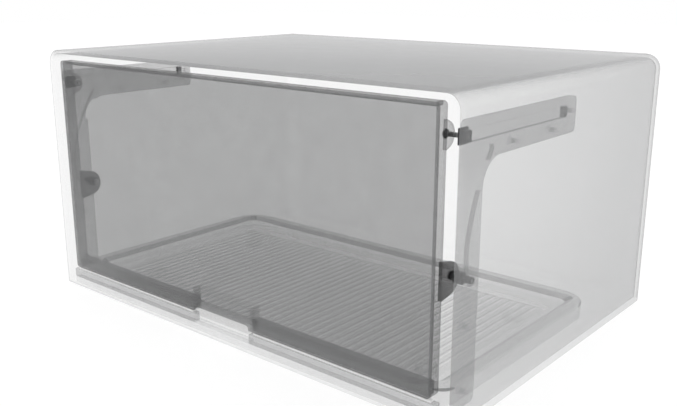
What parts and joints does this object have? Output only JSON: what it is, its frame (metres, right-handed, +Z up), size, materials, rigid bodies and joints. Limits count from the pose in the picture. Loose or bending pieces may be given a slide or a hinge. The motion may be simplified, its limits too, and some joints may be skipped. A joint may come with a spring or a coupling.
{
  "type": "refrigerator flap compartment",
  "caption": "Clear rounded refrigerator compartment whose smoked front flap tilts up and slides back under the ceiling on side guide brackets, over a loose ribbed tray.",
  "frame": {"origin": "on the underside of the case, under the middle of its box", "axes": "+X to the right seen from the front, -Y out of the flap's front, +Z up"},
  "size_m": [0.544, 0.395, 0.275],
  "materials": {
    "clear_case": "clear moulded plastic",
    "clear_sill": "clear moulded plastic",
    "clear_stud": "clear moulded plastic",
    "clear_foot": "clear soft plastic",
    "grey_sill": "grey clear plastic",
    "white_seal": "soft white seal",
    "smoke_flap": "smoked clear plastic",
    "smoke_rail": "smoked clear plastic",
    "smoke_grip": "smoked clear plastic",
    "smoke_ear": "smoked plastic",
    "grey_bracket": "grey clear plastic",
    "grey_tray": "grey clear plastic",
    "dark_glide": "satin sliding plastic",
    "pin_steel": "drawn steel",
    "soft_rubber": "soft rubber"
  },
  "bodies": {
    "housing": {"outer_case": "clear_case", "sill_base": "clear_sill", "sill_grip_plate": "grey_sill", "left_sill": "grey_sill", "left_sill_seal": "white_seal", "left_guide_bracket": "grey_bracket", "left_bracket_studs": "clear_stud", "left_stop_bumper": "soft_rubber", "right_sill": "grey_sill", "right_sill_seal": "white_seal", "right_guide_bracket": "grey_bracket", "right_bracket_studs": "clear_stud", "right_stop_bumper": "soft_rubber"},
    "carriage": {"left_guide_shoe": "dark_glide", "right_guide_shoe": "dark_glide"},
    "flap": {"flap_panel": "smoke_flap", "flap_top_rail": "smoke_rail", "flap_grip": "smoke_grip", "left_flap_rail": "smoke_rail", "left_lower_rail": "smoke_rail", "left_upper_ear": "smoke_ear", "left_lower_ear": "smoke_ear", "left_upper_pin": "pin_steel", "left_lower_pin": "pin_steel", "left_lower_sleeve": "dark_glide", "right_flap_rail": "smoke_rail", "right_lower_rail": "smoke_rail", "right_upper_ear": "smoke_ear", "right_lower_ear": "smoke_ear", "right_upper_pin": "pin_steel", "right_lower_pin": "pin_steel", "right_lower_sleeve": "dark_glide"},
    "tray": {"drip_tray": "grey_tray", "tray_feet": "clear_foot"}
  },
  "joints": [
    {"name": "carriage_slide", "type": "slide", "parent": "housing", "child": "carriage", "axis": [0, 1, 0], "range_m": [0, 0.151]},
    {"name": "flap_tilt", "type": "hinge", "parent": "carriage", "child": "flap", "pos_m": [0, -0.1797, 0.238], "axis": [-1, 0, 0], "range_deg": [0, 90]},
    {"name": "tray_lift", "type": "slide", "parent": "housing", "child": "tray", "axis": [0, 0, 1], "range_m": [0, 0.03]}
  ],
  "couplings": [
    {"joint": "carriage_slide", "follows": "flap_tilt", "m_per_rad": 0.09613}
  ]
}
